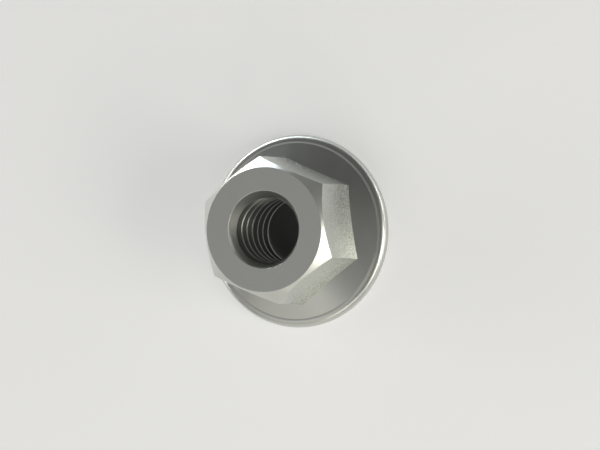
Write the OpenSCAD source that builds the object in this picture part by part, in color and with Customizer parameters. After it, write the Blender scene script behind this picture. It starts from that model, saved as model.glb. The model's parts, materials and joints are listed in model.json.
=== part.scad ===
// Hexagon flange nut, turned and formed from one piece of steel. Millimetres.
// It stands on its bearing face. The origin is the centre of that face, and +Z points
// along the bore towards the crown, which is the bevelled end of the hexagon.

/* [Thread] */
// Nominal diameter of the thread
thread_d = 6; // [5:0.1:7]
// Pitch of the thread, and so how much smaller than the thread its hole is drilled
thread_pitch = 1; // [0.5:0.05:1.5]

/* [Hexagon] */
// Width across the flats, which is the spanner's size
across_flats = 10; // [9:0.1:11.5]
// How far inside the middle of a flat the crown's ring ends
crown_inset = 0.17; // [0.05:0.01:0.6]
// Slope of the crown's bevel, measured from the end face
crown_angle = 45; // [15:1:60]

/* [Flange] */
// Diameter over the rim
flange_d = 15; // [13.2:0.1:20]
// Thickness at the rim, whose edge is a full round
rim_t = 1.15; // [0.8:0.05:2]
// Slope of the upper face, rising from the rim to the hexagon
flange_slope = 20; // [5:1:35]

/* [Height] */
// From the bearing face to the end face
height = 7.5; // [5:0.1:12]

/* [Countersinks] */
// How much wider than the thread both countersinks open
sink_margin = 0.05; // [0:0.01:0.5]
// Full angle of the countersink in the end face
crown_sink_angle = 60; // [50:1:120]
// Full angle of the countersink in the bearing face
seat_sink_angle = 120; // [60:1:150]

/* [Hidden] */
$fn = 120;
HEXAGON = 6;

corner_r = across_flats / sqrt(3);
crown_r = across_flats / 2 - crown_inset;
bevel_drop = (corner_r - crown_r) * tan(crown_angle);

rim_r = rim_t / 2;
shoulder_r = flange_d / 2 - rim_r;
root_z = rim_t + (shoulder_r - crown_r) * tan(flange_slope);

bore_r = (thread_d - thread_pitch) / 2;
mouth_r = (thread_d + sink_margin) / 2;
crown_sink_depth = (mouth_r - bore_r) / tan(crown_sink_angle / 2);
seat_sink_depth = (mouth_r - bore_r) / tan(seat_sink_angle / 2);

// How far a cutting shape runs past the face that it cuts
past = 0.1;

// The hexagon's prism, with its foot buried at the middle of the rim's thickness
module prism() {
    translate([0, 0, rim_r])
        linear_extrude(height - rim_r)
            circle(r = corner_r, $fn = HEXAGON);
}

// The turned blank that the prism is trimmed to: its cone leaves a ring on the end face
// and a curved edge, highest at the middle, on each flat
module crown_blank() {
    rotate_extrude()
        polygon([
            [0, 0],
            [corner_r + past, 0],
            [corner_r + past, height - bevel_drop - past * tan(crown_angle)],
            [crown_r, height],
            [0, height]
        ]);
}

module hexagon() {
    intersection() {
        prism();
        crown_blank();
    }
}

// A shallow cone on a disc whose edge is a half circle. The cone ends at a fine shoulder,
// and its upper end is hidden inside the hexagon
module flange() {
    rotate_extrude() {
        polygon([
            [0, 0],
            [shoulder_r, 0],
            [shoulder_r, rim_t],
            [crown_r, root_z],
            [0, root_z]
        ]);
        translate([shoulder_r, rim_r])
            circle(r = rim_r);
    }
}

// The drilled hole and both countersinks in one turned shape. The countersinks keep their
// slope past the faces, so each mouth is cut at its own radius
module bore() {
    rotate_extrude()
        polygon([
            [0, -past],
            [mouth_r + past * tan(seat_sink_angle / 2), -past],
            [bore_r, seat_sink_depth],
            [bore_r, height - crown_sink_depth],
            [mouth_r + past * tan(crown_sink_angle / 2), height + past],
            [0, height + past]
        ]);
}

module flange_nut() {
    color([0.66, 0.67, 0.65])
        difference() {
            union() {
                flange();
                hexagon();
            }
            bore();
        }
}

flange_nut();
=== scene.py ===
# %% [markdown]
# A hexagon flange nut
#
# The real thing is one piece of steel: a hexagon that a spanner grips, a cone-shaped flange
# that spreads the load like a washer, and a threaded hole through both. This script loads the
# measured solid as a fixed frame, builds the nut that is seen in its place, with the thread
# that the solid leaves out, gives it a satin steel finish, and lights it like a small
# product in a studio. Everything is in metres, and the nut stands on z = 0.

# %% Load the frame
import json
import math

import bmesh
import bpy
from mathutils import Matrix, Vector


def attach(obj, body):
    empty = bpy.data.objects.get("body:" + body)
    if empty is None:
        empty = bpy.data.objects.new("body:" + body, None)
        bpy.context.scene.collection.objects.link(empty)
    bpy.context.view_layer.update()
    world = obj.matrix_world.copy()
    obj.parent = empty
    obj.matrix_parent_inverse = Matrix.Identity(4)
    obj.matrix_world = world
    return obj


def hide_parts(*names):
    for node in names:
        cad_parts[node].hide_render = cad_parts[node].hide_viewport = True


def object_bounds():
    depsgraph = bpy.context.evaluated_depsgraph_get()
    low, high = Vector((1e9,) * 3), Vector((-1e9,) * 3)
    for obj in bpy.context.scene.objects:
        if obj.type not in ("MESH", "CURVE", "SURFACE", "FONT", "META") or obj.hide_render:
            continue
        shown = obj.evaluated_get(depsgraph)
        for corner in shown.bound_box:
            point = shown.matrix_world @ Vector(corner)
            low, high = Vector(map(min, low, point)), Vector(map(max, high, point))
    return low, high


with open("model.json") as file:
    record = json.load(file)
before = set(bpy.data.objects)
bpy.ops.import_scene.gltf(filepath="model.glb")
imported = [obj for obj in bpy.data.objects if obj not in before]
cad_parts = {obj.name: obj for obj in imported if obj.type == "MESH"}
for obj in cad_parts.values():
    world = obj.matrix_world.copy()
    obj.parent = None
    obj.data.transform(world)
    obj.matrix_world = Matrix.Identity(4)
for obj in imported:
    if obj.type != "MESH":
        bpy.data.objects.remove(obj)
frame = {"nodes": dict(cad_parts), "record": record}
cad_low, cad_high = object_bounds()
print("frame holds", list(frame["nodes"]), "size", [round(v, 5) for v in cad_high - cad_low])

# %% [markdown]
# Sizes
#
# Sizes come from the frame where it can tell them: the overall box gives the height and the
# flange, and the record's thread gives the drilled hole. The rest are the values that a
# drawing of such a nut would carry. Writing each of them once, in millimetres times MM, keeps
# the numbers readable while Blender works in metres.

# %% Name the nut's sizes
MM = 0.001
SIDES = 6

mounts = {mount["name"]: mount for mount in frame["record"]["mounts"]}
height = cad_high.z
flange_radius = min(cad_high.x, cad_high.y, -cad_low.x, -cad_low.y)
bore_radius = mounts["thread"]["dims"]["r_mm"] * MM

across_flats = 10 * MM
crown_inset = 0.17 * MM
crown_radius = across_flats / 2 - crown_inset
crown_angle = math.radians(45)
rim_thickness = 1.15 * MM
flange_slope = math.radians(20)
mouth_radius = 3.025 * MM
crown_sink = math.radians(30)
seat_sink = math.radians(60)

print("height %.2f mm, flange %.2f mm, bore %.2f mm" % (
    height / MM, 2 * flange_radius / MM, 2 * bore_radius / MM))

# %% [markdown]
# Sizes of the thread
#
# The thread is cut outwards from the drilled hole, so its radius is the one at its roots. Its
# start is the height of a crest at angle 0, as a share of the pitch, and is chosen so that the
# crests lie where the picture shows them. Between the two run-out heights, just below the
# crown, the groove gets shallower and ends.

# %% Name the thread's sizes
thread_radius = 3.0 * MM
thread_pitch = 1.0 * MM
thread_start = 0.67
run_out_low = 6.62 * MM
run_out_high = 7.07 * MM

print("thread %.2f mm, pitch %.2f mm" % (2 * thread_radius / MM, thread_pitch / MM))

# %% [markdown]
# Edges
#
# The solid has sharp edges. A real nut is tumbled after forming, which leaves a fine round on
# each of them, and such rounds catch the light. Where the cone of the flange meets the rim,
# forming leaves a shallow valley.

# %% Name the rounds
edge_round = 0.008 * MM
mouth_round = 0.02 * MM
root_round = 0.008 * MM
corner_round = 0.05 * MM
valley_width = 0.08 * MM
valley_depth = 0.004 * MM

print("rounds from %.3f to %.3f mm" % (edge_round / MM, corner_round / MM))

# %% [markdown]
# Node trees in one call
#
# Both the shape and the finish are made of node trees. Written out, each node takes a line to
# add it, a line for each setting and a line for each wire. This class adds a node of any kind
# in one call, with its settings and what goes into its sockets.

# %% Wrap a node tree
class Tree:
    """Adds nodes to a node tree, with their settings and what goes into their sockets."""

    def __init__(self, tree):
        self.tree = tree

    def add(self, kind, settings=None, inputs=None):
        node = self.tree.nodes.new(kind)
        for name, setting in (settings or {}).items():
            setattr(node, name, setting)
        for key, source in (inputs or {}).items():
            self.feed(node.inputs[key], source)
        return node

    def feed(self, socket, source):
        if isinstance(source, Value):
            self.tree.links.new(source.socket, socket)
        elif isinstance(source, bpy.types.NodeSocket):
            self.tree.links.new(source, socket)
        else:
            socket.default_value = source

    def value(self, kind, settings=None, inputs=None, output=0):
        return Value(self, self.add(kind, settings, inputs).outputs[output])

    def math(self, operation, *terms):
        return self.value("ShaderNodeMath", {"operation": operation}, dict(enumerate(terms)))

    def vector(self, operation, *terms):
        node = self.add("ShaderNodeVectorMath", {"operation": operation}, dict(enumerate(terms)))
        return node.outputs["Vector"]

    def scaled(self, vector, amount):
        node = self.add("ShaderNodeVectorMath", {"operation": "SCALE"}, {0: vector, "Scale": amount})
        return node.outputs["Vector"]

    def blend(self, amount, first, second):
        """A colour between two colours. A Mix node keeps its colour sockets at these places."""
        factor_socket, first_socket, second_socket, result_socket = 0, 6, 7, 2
        node = self.add("ShaderNodeMix", {"data_type": "RGBA"}, {
            factor_socket: amount, first_socket: first, second_socket: second})
        return node.outputs[result_socket]


print("Tree:", Tree.__doc__)

# %% [markdown]
# Node maths as plain expressions
#
# A sum of three terms takes two Math nodes and their wires, which hides what is worked out.
# This class wraps a socket, and Python's own operators on it add the Math nodes, so that the
# rule of the nut reads like a formula.

# %% Wrap a socket
class Value:
    """A number that varies over a surface. Arithmetic on it adds Math nodes."""

    def __init__(self, tree, socket):
        self.tree = tree
        self.socket = socket

    def __add__(self, other):
        return self.tree.math("ADD", self, other)

    def __radd__(self, other):
        return self.tree.math("ADD", other, self)

    def __sub__(self, other):
        return self.tree.math("SUBTRACT", self, other)

    def __rsub__(self, other):
        return self.tree.math("SUBTRACT", other, self)

    def __mul__(self, other):
        return self.tree.math("MULTIPLY", self, other)

    def __rmul__(self, other):
        return self.tree.math("MULTIPLY", other, self)

    def __truediv__(self, other):
        return self.tree.math("DIVIDE", self, other)


print("Value:", Value.__doc__)

# %% [markdown]
# The nut as one rule
#
# Every part of a nut is turned round one axis, except the six flats. So its surface can be
# written as a profile, a chain of corners in radius and height, that changes a little with
# the angle: where a flat cuts the blank, the corners slide in to the flat. A boolean of a
# prism and a cone would give the same shape, but its faces are long slivers that shade badly.
# A geometry node tree that bends flat grids along the rule gives even, closed walls of small
# faces, and its named inputs stay easy to change.

# %% Start the tree and its named inputs
nut_group = bpy.data.node_groups.new("nut_by_rule", "GeometryNodeTree")
nut_group.interface.new_socket("Geometry", in_out="OUTPUT", socket_type="NodeSocketGeometry")
nut_inputs = {
    "Height": height,
    "Flange Radius": flange_radius,
    "Rim Thickness": rim_thickness,
    "Flange Slope": flange_slope,
    "Half Across Flats": across_flats / 2,
    "Crown Radius": crown_radius,
    "Crown Angle": crown_angle,
    "Bore Radius": bore_radius,
    "Mouth Radius": mouth_radius,
    "Crown Sink": crown_sink,
    "Seat Sink": seat_sink,
    "Thread Radius": thread_radius,
    "Thread Pitch": thread_pitch,
    "Thread Start": thread_start,
    "Run Out Low": run_out_low,
    "Run Out High": run_out_high,
    "Edge Round": edge_round,
    "Mouth Round": mouth_round,
    "Root Round": root_round,
    "Corner Round": corner_round,
    "Valley Width": valley_width,
    "Valley Depth": valley_depth,
}
nut_sockets = {
    name: nut_group.interface.new_socket(name, in_out="INPUT", socket_type="NodeSocketFloat")
    for name in nut_inputs
}
shape = Tree(nut_group)
given = shape.add("NodeGroupInput")
size = {name: Value(shape, given.outputs[name]) for name in nut_inputs}
print("tree takes", len(size), "sizes")

# %% [markdown]
# Across and round
#
# A grid of one by one unit carries two numbers at each point: across it goes once round the
# nut, and along it one stretch of the profile is drawn. The columns are bunched at the six
# corners, where the outline turns quickly, by taking a sine from the angle.

# %% Turn grid places into an angle and a share of the way
COLUMNS = 216
CORNER_BUNCHING = 0.85
END_BUNCHING = 0.95
HALF_SIDE = math.pi / SIDES

place = shape.add("GeometryNodeInputPosition")
place_xyz = shape.add("ShaderNodeSeparateXYZ", inputs={0: place.outputs[0]})
across = Value(shape, place_xyz.outputs["X"]) + 0.5
along = Value(shape, place_xyz.outputs["Y"]) + 0.5

even_angle = across * math.tau
angle = even_angle - shape.math("SINE", even_angle * SIDES) * (CORNER_BUNCHING / SIDES)
from_flat = shape.math("PINGPONG", angle + HALF_SIDE, HALF_SIDE)
this_flat = size["Half Across Flats"] / shape.math("COSINE", from_flat)
next_flat = size["Half Across Flats"] / shape.math("COSINE", 2 * HALF_SIDE - from_flat)
outline_radius = shape.math("SMOOTH_MIN", this_flat, next_flat, size["Corner Round"])
cos_angle = shape.math("COSINE", angle)
sin_angle = shape.math("SINE", angle)


def bunched(share):
    """The same share of the way with more rows near both ends, where the edges are."""
    return share - shape.math("SINE", share * math.tau) * (END_BUNCHING / math.tau)


print("columns round the nut:", COLUMNS)

# %% [markdown]
# Walls
#
# Each wall is a grid of its own, bent round the axis, and all of them meet edge to edge. A
# wall can carry marks, numbers that are kept at its points, because the finish needs to know
# later what is a flat, a groove or a countersink.

# %% Make one wall of the nut
FLAT_MARK = "formed_flat"
GROOVE_MARK = "thread_groove"
SINK_MARK = "countersunk"
walls = []


def wall(rows, radius, z, marks=None):
    """One grid, bent round the axis. Marks are numbers kept at its points for the finish."""
    grid = shape.add("GeometryNodeMeshGrid", inputs={
        "Size X": 1.0, "Size Y": 1.0, "Vertices X": COLUMNS + 1, "Vertices Y": rows})
    sheet = grid.outputs["Mesh"]
    for name, amount in (marks or {}).items():
        kept = shape.add(
            "GeometryNodeStoreNamedAttribute",
            {"data_type": "FLOAT", "domain": "POINT"},
            {"Geometry": sheet, "Name": name, "Value": amount},
        )
        sheet = kept.outputs[0]
    spot = shape.add("ShaderNodeCombineXYZ", inputs={
        "X": radius * cos_angle, "Y": radius * sin_angle, "Z": z})
    bent = shape.add("GeometryNodeSetPosition", inputs={
        "Geometry": sheet, "Position": spot.outputs[0]})
    walls.append(bent)


print("marks:", FLAT_MARK, GROOVE_MARK, SINK_MARK)

# %% [markdown]
# Stretches and rounds
#
# Each stretch runs straight between two corners and stops a little short of both. The gap at
# a corner is filled by a quadratic curve that leaves along one stretch and arrives along the
# next, which is a fine edge round. Corners and ways are pairs: the first part goes outwards,
# the second up.

# %% Make a stretch and a round
ROUND_ROWS = 4
MOUTH_ROUND_ROWS = 3
OUT = (1.0, 0.0)
DOWN = (0.0, -1.0)
IN = (-1.0, 0.0)


def stretch(start, end, way, trim_start, trim_end, rows, marks=None):
    """A straight wall from start to end, trimmed along its way at both ends."""
    share = bunched(along)
    points = []
    for part in range(2):
        low = start[part] + trim_start * way[part]
        high = end[part] - trim_end * way[part]
        points.append(low + (high - low) * share)
    wall(rows + 1, *points, marks=marks)


def round_off(corner, way_in, way_out, trim, rows=ROUND_ROWS):
    """A curve over a corner that starts and ends trim away from it."""
    rest = 1 - along
    points = []
    for part in range(2):
        bend = along * along * way_out[part] - rest * rest * way_in[part]
        points.append(corner[part] + trim * bend)
    wall(rows + 1, *points)


print("rows over an edge:", ROUND_ROWS)

# %% [markdown]
# The outside
#
# Going out from the crown's mouth: the ring on the end face, the bevel, the flat, the cone of
# the flange, a shallow valley, the full-round rim and the bearing face. The bevel and the
# cone meet each flat at a height that depends on how far out the flat is there, and that
# draws the curved edges that mark a real nut.

# %% Draw the profile's corners
top = size["Height"]
rim_radius = size["Rim Thickness"] / 2
shoulder_radius = size["Flange Radius"] - rim_radius
crown_slope = shape.math("TANGENT", size["Crown Angle"])
cone_slope = shape.math("TANGENT", size["Flange Slope"])
bevel_z = top - (outline_radius - size["Crown Radius"]) * crown_slope
root_z = size["Rim Thickness"] + (shoulder_radius - outline_radius) * cone_slope

crown_mouth = (size["Mouth Radius"], top)
crown_edge = (size["Crown Radius"], top)
flat_top = (outline_radius, bevel_z)
flat_root = (outline_radius, root_z)
valley = (shoulder_radius - size["Valley Width"], size["Rim Thickness"] - size["Valley Depth"])
shoulder = (shoulder_radius, size["Rim Thickness"])
rim_foot = (shoulder_radius, 0.0)
seat_mouth = (size["Mouth Radius"], 0.0)
print("nodes so far:", len(nut_group.nodes))

# %% [markdown]
# From the mouth to the bearing face
#
# With the corners named, each line builds one stretch or one round, in the order in which a
# finger would follow the outside. Only the flats carry a mark, and the bearing face comes back
# inwards to the hole.

# %% Build the outer walls
def down_slope(slope):
    """The way out and down at that slope."""
    return shape.math("COSINE", slope), shape.math("SINE", slope) * -1


bevel_way = down_slope(size["Crown Angle"])
cone_way = down_slope(size["Flange Slope"])
fine = size["Edge Round"]
mouth = size["Mouth Round"]
root = size["Root Round"]

stretch(crown_mouth, crown_edge, OUT, mouth, fine, rows=8)
round_off(crown_edge, OUT, bevel_way, fine)
stretch(crown_edge, flat_top, bevel_way, fine, fine, rows=6)
round_off(flat_top, bevel_way, DOWN, fine)
stretch(flat_top, flat_root, DOWN, fine, root, rows=14, marks={FLAT_MARK: 1.0})
round_off(flat_root, DOWN, cone_way, root)
stretch(flat_root, valley, cone_way, root, 0.0, rows=10)
stretch(valley, shoulder, OUT, 0.0, 0.0, rows=3)
stretch(rim_foot, seat_mouth, IN, 0.0, mouth, rows=8)
print("straight and rounded walls:", len(walls))

# %% [markdown]
# The rim
#
# The flange ends in a full round: half a circle from its upper face to the bearing face. Sine
# and cosine of half a turn draw it, with its rows evenly spread.

# %% Build the rim
RIM_ROWS = 16

rim_turn = along * math.pi
wall(
    RIM_ROWS + 1,
    shoulder_radius + rim_radius * shape.math("SINE", rim_turn),
    rim_radius + rim_radius * shape.math("COSINE", rim_turn),
)
print("outer walls:", len(walls))

# %% [markdown]
# The thread
#
# A thread is one ridge that climbs by its pitch in each turn. If the rows of the grid climb
# with it, every row lies on a crest, a flank or a root for its whole length, so the edges
# stay crisp. Rows that would leave the nut are held at its two ends and merged there.

# %% Let the rows climb with the thread
ROWS_PER_TURN = 32

wall_low = mouth * shape.math("COSINE", size["Seat Sink"])
wall_high = top - mouth * shape.math("COSINE", size["Crown Sink"])
pitch = size["Thread Pitch"]
start = size["Thread Start"]
first_row = shape.math("FLOOR", (wall_low / pitch - start - 1) * ROWS_PER_TURN)
last_row = shape.math("CEIL", (wall_high / pitch - start) * ROWS_PER_TURN)
row_count = last_row - first_row
turns = (first_row + along * row_count) / ROWS_PER_TURN
climb = pitch * (turns + start + angle / math.tau)
thread_z = shape.math("MINIMUM", shape.math("MAXIMUM", climb, wall_low), wall_high)
print("rows in one turn:", ROWS_PER_TURN)

# %% [markdown]
# Crests, roots and countersinks
#
# Crest and root are flat, and half of each is given as a share of the pitch. A smooth minimum
# and maximum round the edges between them and the flanks. The countersinks are cones, and
# wherever a cone lies further out than the thread, the cone wins, so each ridge runs out into
# it as a real one does. Just below the crown the groove gets shallower and ends, which leaves
# the upper countersink a smooth ring.

# %% Wind the threaded wall up the hole
CREST_HALF = 0.0625
ROOT_HALF = 0.15625
CREST_SOFTNESS = 0.08

thread_depth = size["Thread Radius"] - size["Bore Radius"]
from_crest = shape.math("PINGPONG", turns, 0.5)
flank = (from_crest - CREST_HALF) / (0.5 - ROOT_HALF - CREST_HALF)
depth = shape.math("SMOOTH_MAX", flank, 0.0, CREST_SOFTNESS)
depth = shape.math("SMOOTH_MIN", depth, 1.0, CREST_SOFTNESS)
depth = depth * shape.value("ShaderNodeMapRange", {"interpolation_type": "SMOOTHSTEP"}, {
    "Value": thread_z, "From Min": size["Run Out High"], "From Max": size["Run Out Low"]})
ridge_radius = size["Bore Radius"] + depth * thread_depth
seat_cone = size["Mouth Radius"] - thread_z * shape.math("TANGENT", size["Seat Sink"])
crown_cone = size["Mouth Radius"] - (top - thread_z) * shape.math("TANGENT", size["Crown Sink"])
cones = shape.math("MAXIMUM", seat_cone, crown_cone)
below_cone = (ridge_radius - cones) / thread_depth
wall(row_count + 1, shape.math("MAXIMUM", ridge_radius, cones), thread_z, marks={
    GROOVE_MARK: shape.math("MINIMUM", depth, shape.math("MAXIMUM", below_cone, 0.0)),
    SINK_MARK: shape.math("LESS_THAN", below_cone, 0.0),
})
print("walls with the thread:", len(walls))

# %% [markdown]
# The hole's two mouths
#
# Where a countersink meets the end face or the bearing face, a fine round takes the edge off.
# Each countersink is given by its angle from the axis, so sine goes outwards here.

# %% Round the mouths
seat_way = (
    shape.math("SINE", size["Seat Sink"]) * -1,
    shape.math("COSINE", size["Seat Sink"]),
)
crown_way = (
    shape.math("SINE", size["Crown Sink"]),
    shape.math("COSINE", size["Crown Sink"]),
)
round_off(seat_mouth, IN, seat_way, mouth, rows=MOUTH_ROUND_ROWS)
round_off(crown_mouth, crown_way, OUT, mouth, rows=MOUTH_ROUND_ROWS)
print("walls:", len(walls))

# %% [markdown]
# Joining the walls
#
# The walls meet at the same points, so merging by distance closes the nut into one skin. The
# grids all came out facing inwards, so the faces are flipped once. The tree ends by making
# everything real and giving it its material.

# %% Join and close the skin
MERGE_WITHIN = 0.001 * MM

joined = shape.add("GeometryNodeJoinGeometry")
for built in walls:
    nut_group.links.new(built.outputs[0], joined.inputs[0])
closed = shape.add("GeometryNodeMergeByDistance", inputs={
    "Geometry": joined.outputs[0], "Distance": MERGE_WITHIN})
flipped = shape.add("GeometryNodeFlipFaces", inputs={"Mesh": closed.outputs[0]})
smooth = shape.add("GeometryNodeSetShadeSmooth", inputs={"Geometry": flipped.outputs[0]})
real = shape.add("GeometryNodeRealizeInstances", inputs={"Geometry": smooth.outputs[0]})
painted = shape.add("GeometryNodeSetMaterial", inputs={"Geometry": real.outputs[0]})
shape.add("NodeGroupOutput", inputs={"Geometry": painted.outputs[0]})
print("tree has", len(nut_group.nodes), "nodes")

# %% [markdown]
# The finish
#
# Such nuts are stainless or plated steel, satin all over. All of the finish is worked out from
# the place on the nut, so it keeps its real scale from any distance. It starts from an empty
# material, so that nothing is left of the one that Blender would put there.

# %% Start a material
def new_material(name):
    """An empty material and its tree."""
    material = bpy.data.materials.new(name)
    material.use_nodes = True
    material.node_tree.nodes.clear()
    return material, Tree(material.node_tree)


print("new_material:", new_material.__doc__)

# %% [markdown]
# The grain of the flats
#
# The flats keep the grain of the drawn bar, a speckle about 0.07 millimetres wide and twice as
# tall, and spanners rub it smooth towards the crown. A Voronoi texture gives each grain a
# random colour. One channel of it is the grain's shade, and the whole of it, taken as a
# direction, is how the grain's small face leans.

# %% Grain the flats
GRAIN_SCALE = 15000.0
GRAIN_SQUEEZE = (1.0, 1.0, 0.50)
GRAIN_LEAN = 0.06
RUBBED_FROM = 2.4 * MM
RUBBED_TO = 6.4 * MM
LEFT_WHEN_RUBBED = 0.25
MID_COLOUR = (0.5, 0.5, 0.5)


def flat_grain(look, where, z, flat):
    """Each grain's shade, how much of the grain is left there, and its leaning face."""
    squeezed = look.vector("MULTIPLY", where, GRAIN_SQUEEZE)
    cells = look.add("ShaderNodeTexVoronoi", inputs={"Vector": squeezed, "Scale": GRAIN_SCALE})
    cell_colour = cells.outputs["Color"]
    channels = look.add("ShaderNodeSeparateColor", inputs={0: cell_colour})
    shade = Value(look, channels.outputs["Red"])
    left = look.value("ShaderNodeMapRange", inputs={
        "Value": z, "From Min": RUBBED_FROM, "From Max": RUBBED_TO,
        "To Min": 1.0, "To Max": LEFT_WHEN_RUBBED})
    random_way = look.vector("SUBTRACT", cell_colour, MID_COLOUR)
    lean = look.scaled(random_way, flat * GRAIN_LEAN)
    facing = look.add("ShaderNodeNewGeometry").outputs["Normal"]
    return shade, left, look.vector("NORMALIZE", look.vector("ADD", facing, lean))


print("grain %.3f mm wide" % (1 / GRAIN_SCALE / MM))

# %% [markdown]
# Rings and clouds
#
# The turned faces have fine rings that only show as a soft sheen: noise along one line, whose
# place is the radius, less a share of the height so that steep faces have rings too. A second,
# slow noise makes the sheen a little uneven everywhere, as handling does.

# %% Turn the rings
RING_SCALE = 14000.0
RING_CLIMB = 0.6
CLOUD_SCALE = 700.0


def turned_rings(look, radius, z):
    """Noise that changes across the rings and stays the same along each."""
    return look.value(
        "ShaderNodeTexNoise",
        {"noise_dimensions": "1D"},
        {"W": radius - z * RING_CLIMB, "Scale": RING_SCALE, "Detail": 2.0, "Roughness": 0.6},
    )


def soft_clouds(look, where):
    """Slow noise over the whole nut."""
    return look.value("ShaderNodeTexNoise", inputs={
        "Vector": where, "Scale": CLOUD_SCALE, "Detail": 3.0, "Roughness": 0.5})


print("rings %.3f mm wide" % (1 / RING_SCALE / MM))

# %% [markdown]
# The steel
#
# The shade of the grain, the rings and the clouds moves the colour between a dark and a pale
# steel. A painted shade darkens the thread's grooves, so its crests stand out as bright lines.
# It is at its full strength where the groove is deeper than an eighth of the thread. The flats
# and the countersinks are rougher than the turned faces, and everywhere but on the flats a
# very fine bump follows the rings.

# %% Make the steel
DARK_STEEL = (0.40, 0.407, 0.384, 1.0)
PALE_STEEL = (0.80, 0.814, 0.770, 1.0)
GROOVE_PAINTED_SHADE = (0.05, 0.05, 0.042, 1.0)
GROOVE_SHADE_COVER = 0.78
GROOVE_SHADE_RISE = 8.0
GRAIN_TONE = 1.20
RING_TONE = 0.10
CLOUD_TONE = 0.10
TURNED_ROUGHNESS = 0.31
SUNK_ROUGHER = 0.09
FLAT_ROUGHER = 0.09
GRAIN_GLOSS = 0.08
CLOUD_GLOSS = 0.08
RING_BUMP = 0.02 * MM
RING_STRENGTH = 0.01


def satin_steel():
    material, look = new_material("satin_steel")
    where = look.add("ShaderNodeTexCoord").outputs["Object"]
    where_xyz = look.add("ShaderNodeSeparateXYZ", inputs={0: where})
    x = Value(look, where_xyz.outputs["X"])
    y = Value(look, where_xyz.outputs["Y"])
    z = Value(look, where_xyz.outputs["Z"])
    radius = look.math("SQRT", x * x + y * y)
    flat = look.value("ShaderNodeAttribute", {"attribute_name": FLAT_MARK}, output="Fac")
    groove = look.value("ShaderNodeAttribute", {"attribute_name": GROOVE_MARK}, output="Fac")
    sunk = look.value("ShaderNodeAttribute", {"attribute_name": SINK_MARK}, output="Fac")

    grain, grain_left, facet = flat_grain(look, where, z, flat)
    rings = turned_rings(look, radius, z)
    cloud = soft_clouds(look, where)
    tone = (grain - 0.5) * flat * grain_left * GRAIN_TONE
    tone = tone + (rings - 0.5) * RING_TONE + (cloud - 0.5) * CLOUD_TONE
    bare = look.blend(tone + 0.5, DARK_STEEL, PALE_STEEL)
    # painted shade: the colour turns dark where the thread's groove is deep
    groove_shade = look.value("ShaderNodeClamp", inputs={"Value": groove * GROOVE_SHADE_RISE})
    colour = look.blend(groove_shade * GROOVE_SHADE_COVER, bare, GROOVE_PAINTED_SHADE)

    roughness = TURNED_ROUGHNESS + (cloud - 0.5) * CLOUD_GLOSS + sunk * SUNK_ROUGHER
    roughness = roughness + flat * (FLAT_ROUGHER + (grain - 0.5) * GRAIN_GLOSS)
    bump = look.add("ShaderNodeBump", inputs={
        "Strength": 1.0, "Distance": RING_BUMP, "Height": (1 - flat) * rings * RING_STRENGTH,
        "Normal": facet})
    surface = look.add("ShaderNodeBsdfPrincipled", inputs={
        "Base Color": colour, "Metallic": 1.0, "Roughness": roughness, "Normal": bump.outputs[0]})
    look.add("ShaderNodeOutputMaterial", inputs={"Surface": surface.outputs[0]})
    return material


steel = satin_steel()
painted.inputs["Material"].default_value = steel
print("steel made of", len(steel.node_tree.nodes), "nodes")

# %% [markdown]
# From rule to mesh
#
# The modifier's inputs are set by their identifiers before anything is evaluated. The result
# is then kept as a plain mesh, and the modifier is thrown away with the object that carried
# it. A closed mesh has two faces at every edge, which is counted here.

# %% Evaluate the tree and keep a plain mesh
carrier = bpy.data.objects.new("nut_rule", bpy.data.meshes.new("nut_rule"))
bpy.context.scene.collection.objects.link(carrier)
rule = carrier.modifiers.new("nut_by_rule", "NODES")
rule.node_group = nut_group
for name, amount in nut_inputs.items():
    rule[nut_sockets[name].identifier] = amount

evaluated = carrier.evaluated_get(bpy.context.evaluated_depsgraph_get())
nut_mesh = bpy.data.meshes.new_from_object(evaluated)
nut = bpy.data.objects.new("threaded_nut", nut_mesh)
bpy.context.scene.collection.objects.link(nut)
carrier.modifiers.clear()
bpy.data.objects.remove(carrier)

probe = bmesh.new()
probe.from_mesh(nut_mesh)
open_edges = sum(1 for edge in probe.edges if len(edge.link_faces) != 2)
print("nut: %d faces, %d open edges, %.1f cubic mm" % (
    len(probe.faces), open_edges, probe.calc_volume(signed=True) / MM ** 3))
probe.free()

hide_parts("flange_nut")
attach(nut, "root")

# %% [markdown]
# The floor
#
# A plain sheet under the nut, so wide that no edge of it shows, and a hair below the bearing
# face, so that the two don't flicker through each other. It is a stage, not a part of the
# object.

# %% Lay the floor
FLOOR_HALF = 1.5
FLOOR_DROP = 0.01 * MM
FLOOR_CORNERS = ((-1, -1), (1, -1), (1, 1), (-1, 1))

floor_mesh = bpy.data.meshes.new("floor")
floor_mesh.from_pydata(
    [(x_side * FLOOR_HALF, y_side * FLOOR_HALF, -FLOOR_DROP) for x_side, y_side in FLOOR_CORNERS],
    [],
    [(0, 1, 2, 3)],
)
floor = bpy.data.objects.new("floor", floor_mesh)
bpy.context.scene.collection.objects.link(floor)
print("floor %.1f m wide" % (2 * FLOOR_HALF))

# %% [markdown]
# The paper
#
# The floor is pale paper. It glows a little towards the camera and as much in mirrors, so that
# it looks pale while the nut gets no more light from it. Below the nut, up to the radius
# NUT_SHADE, a painted shadow darkens the paper's colour and turns off its glow towards the
# camera, so the hole stays dark. From there to the flange's edge the painted shadow fades and
# the paper gets paler.

# %% Make the pale paper
NUT_SHADE = 6.0 * MM
PAPER_GLOW = 0.30
PAPER_ROUGHNESS = 0.9
PAPER_SHINE = 0.1
LIT_PAPER = (0.87, 0.87, 0.875, 1.0)
PAINTED_SHADOW_PAPER = (0.30, 0.30, 0.30, 1.0)
NO_GLOW = (0.0, 0.0, 0.0, 1.0)
FULL_GLOW = (1.0, 1.0, 0.99, 1.0)


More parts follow.
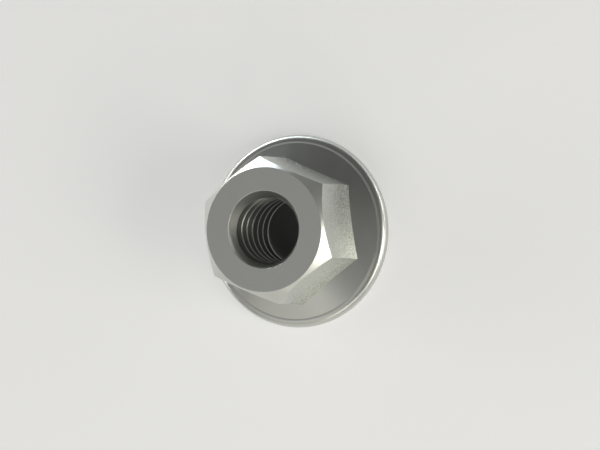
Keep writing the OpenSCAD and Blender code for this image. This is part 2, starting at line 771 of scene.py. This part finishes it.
def pale_paper():
    """Paper that looks pale to the camera and to the metal, takes the shadow, and has a painted
    shadow below the nut.
    """
    material, look = new_material("pale_paper")
    ray = look.add("ShaderNodeLightPath")
    camera_ray = Value(look, ray.outputs["Is Camera Ray"])
    mirrored = look.math(
        "MAXIMUM", Value(look, ray.outputs["Is Glossy Ray"]),
        Value(look, ray.outputs["Is Transmission Ray"]))
    where = look.add("ShaderNodeTexCoord").outputs["Object"]
    from_axis = look.value("ShaderNodeVectorMath", {"operation": "LENGTH"}, {0: where}, "Value")
    outside = look.value("ShaderNodeMapRange", {"interpolation_type": "SMOOTHSTEP"}, {
        "Value": from_axis, "From Min": NUT_SHADE, "From Max": flange_radius})
    # painted shadow: below the nut the paper shows the camera no glow
    seen = camera_ray * outside + mirrored
    sheet = look.add("ShaderNodeBsdfPrincipled", inputs={
        # painted shadow: the paper's colour is darker below the nut
        "Base Color": look.blend(outside, PAINTED_SHADOW_PAPER, LIT_PAPER),
        "Roughness": PAPER_ROUGHNESS,
        "Specular IOR Level": PAPER_SHINE,
        "Emission Color": look.blend(seen, NO_GLOW, FULL_GLOW),
        "Emission Strength": PAPER_GLOW,
    })
    look.add("ShaderNodeOutputMaterial", inputs={"Surface": sheet.outputs[0]})
    return material


paper = pale_paper()
floor_mesh.materials.append(paper)
print("paper made of", len(paper.node_tree.nodes), "nodes")

# %% [markdown]
# The camera
#
# The picture looks down on the nut, 23 degrees off its axis, through a very long lens, and is
# turned on its side: the crown points to the left, and a little tilted. So the camera is built
# from three directions: towards it along the floor, the picture's up, and the nut's own axis.
# Clockwise in the picture, the first corner of the hexagon stands 19.4 degrees round the nut
# from the side that faces the camera. In the frame it is the corner two back from X, and that
# gives the camera's azimuth.

# %% Find the camera's directions
ELEVATION = math.radians(66.7)
FIRST_CORNER = math.radians(19.4)
TILT = math.radians(2.65)
CORNERS_BACK = 2
azimuth = FIRST_CORNER - CORNERS_BACK * math.tau / SIDES

towards = Vector((math.cos(azimuth), math.sin(azimuth), 0.0))
axis = Vector((0.0, 0.0, 1.0))
sideways = axis.cross(towards)
back = towards * math.cos(ELEVATION) + axis * math.sin(ELEVATION)
level_right = towards * math.sin(ELEVATION) - axis * math.cos(ELEVATION)
right = level_right * math.cos(TILT) + sideways * math.sin(TILT)
up = back.cross(right)
print("camera looks from", [round(v, 3) for v in back])

# %% [markdown]
# Where the camera stands
#
# The crown's centre is placed in the frame by its pixel in a picture 600 wide, and the crown's
# radius in pixels says how far away the camera is for the chosen lens.

# %% Place the camera
PICTURE_WIDTH = 600
PICTURE_HEIGHT = 450
CROWN_X = 263.8
CROWN_Y = 229.55
CROWN_RADIUS_PX = 62.48
LENS = 1000.0
SENSOR = 36.0
CLIP_START = 0.01
CLIP_END = 10.0

focal_px = LENS / SENSOR * PICTURE_WIDTH
distance = focal_px * crown_radius / CROWN_RADIUS_PX
metre_per_px = crown_radius / CROWN_RADIUS_PX
aim = axis * height + right * ((PICTURE_WIDTH / 2 - CROWN_X) * metre_per_px)
aim += up * ((CROWN_Y - PICTURE_HEIGHT / 2) * metre_per_px)

camera_data = bpy.data.cameras.new("camera")
camera_data.lens = LENS
camera_data.sensor_width = SENSOR
camera_data.clip_start = CLIP_START
camera_data.clip_end = CLIP_END
camera = bpy.data.objects.new("camera", camera_data)
bpy.context.scene.collection.objects.link(camera)
turn = Matrix((right, up, back)).transposed().to_4x4()
camera.matrix_world = Matrix.Translation(aim + back * distance) @ turn
bpy.context.scene.camera = camera
print("camera %.3f m away" % distance)

# %% [markdown]
# The light
#
# Satin metal shows its lamps, so each lamp is placed by what it should light up. A face with
# a given normal mirrors one direction, and a soft box there makes that face bright. Each lamp
# is a soft rectangle that faces the nut, given by its direction in the picture's own terms
# (towards the camera, up in the picture, up from the floor), its width and height, and its
# brightness as a mirror would show it.

# %% Make a lamp
LAMP_DISTANCE = 0.30
WARM = (1.0, 0.98, 0.90)
COOL = (0.84, 0.93, 1.0)
PLAIN = (1.0, 1.0, 0.98)
lamps = []


def lamp(name, way, wide, tall, brightness, colour):
    """A soft box whose face shows that brightness in a mirror."""
    spot = towards * way[0] + sideways * way[1] + axis * way[2]
    spot = spot.normalized() * LAMP_DISTANCE
    data = bpy.data.lights.new(name, "AREA")
    data.shape = "RECTANGLE"
    data.size = wide
    data.size_y = tall
    data.energy = brightness * wide * tall * math.pi
    data.color = colour
    box = bpy.data.objects.new(name, data)
    bpy.context.scene.collection.objects.link(box)
    box.location = spot
    box.rotation_euler = spot.to_track_quat("Z", "Y").to_euler()
    box.visible_camera = False
    lamps.append(box)


print("lamps stand %.2f m away" % LAMP_DISTANCE)

# %% [markdown]
# Hanging them
#
# The bevel is a cone, so each stretch of it mirrors another direction, and the rough flats
# below it catch the same boxes at a glancing angle. The end face and the flange's slope look
# up, so wide boxes above them keep them even. The round rim mirrors the whole horizon, and
# strips that stand low there draw its bright line.

# %% Hang the lamps
# bevel and flats, right and bottom of the picture
lamp("key", (0.82, -0.43, 0.37), wide=0.14, tall=0.10, brightness=2.5, colour=WARM)
lamp("side", (0.87, -0.12, 0.48), wide=0.12, tall=0.12, brightness=4.0, colour=WARM)
lamp("side_up", (0.86, 0.14, 0.47), wide=0.08, tall=0.10, brightness=0.6, colour=WARM)
lamp("side_mid", (0.98, 0.08, 0.19), wide=0.16, tall=0.05, brightness=0.35, colour=PLAIN)
lamp("front", (0.22, -0.85, 0.47), wide=0.14, tall=0.14, brightness=1.45, colour=WARM)

# far rim and upper left bevel
lamp("edge", (-0.50, 0.84, 0.038), wide=0.20, tall=0.023, brightness=10.0, colour=COOL)
lamp("edge_left", (-0.76, 0.65, 0.03), wide=0.14, tall=0.017, brightness=24.0, colour=PLAIN)

# flange, end face and left side
lamp("fill", (-0.40, -0.65, 0.64), wide=0.24, tall=0.24, brightness=0.49, colour=WARM)
lamp("fill_low", (-0.25, -0.95, 0.15), wide=0.30, tall=0.10, brightness=0.60, colour=WARM)
lamp("left", (-0.97, 0.0, 0.22), wide=0.25, tall=0.10, brightness=3.6, colour=PLAIN)
lamp("top", (-0.15, -0.35, 0.92), wide=0.20, tall=0.20, brightness=0.36, colour=PLAIN)
lamp("top_left", (-0.40, 0.0, 0.92), wide=0.16, tall=0.16, brightness=0.21, colour=PLAIN)
lamp("top_right", (0.30, -0.05, 0.95), wide=0.16, tall=0.16, brightness=0.06, colour=WARM)

# rim's bright line, from the right of the picture to its top
lamp("low_right", (0.99, -0.14, 0.019), wide=0.18, tall=0.0114, brightness=10.0, colour=PLAIN)
lamp("low_30", (0.866, 0.50, 0.038), wide=0.16, tall=0.023, brightness=9.0, colour=PLAIN)
lamp("low_60", (0.50, 0.866, 0.038), wide=0.14, tall=0.023, brightness=2.2, colour=PLAIN)
lamp("low_90", (0.0, 1.0, 0.038), wide=0.14, tall=0.023, brightness=1.2, colour=COOL)

# lower bevel, beside its brightest corner
lamp("key_low", (0.62, -0.71, 0.33), wide=0.12, tall=0.08, brightness=1.3, colour=WARM)
print("hung", len(lamps), "lamps")

# %% [markdown]
# The surroundings
#
# A weak white world fills what no lamp reaches, as the walls of a studio do. The Standard view
# shows a colour about as it is written.

# %% Set the surroundings
WORLD_COLOUR = (1.0, 1.0, 1.0, 1.0)
WORLD_STRENGTH = 0.11

world = bpy.data.worlds.new("studio")
world.use_nodes = True
bpy.context.scene.world = world
backdrop = world.node_tree.nodes["Background"]
backdrop.inputs["Color"].default_value = WORLD_COLOUR
backdrop.inputs["Strength"].default_value = WORLD_STRENGTH
bpy.context.scene.view_settings.view_transform = "Standard"
print("world strength", WORLD_STRENGTH)
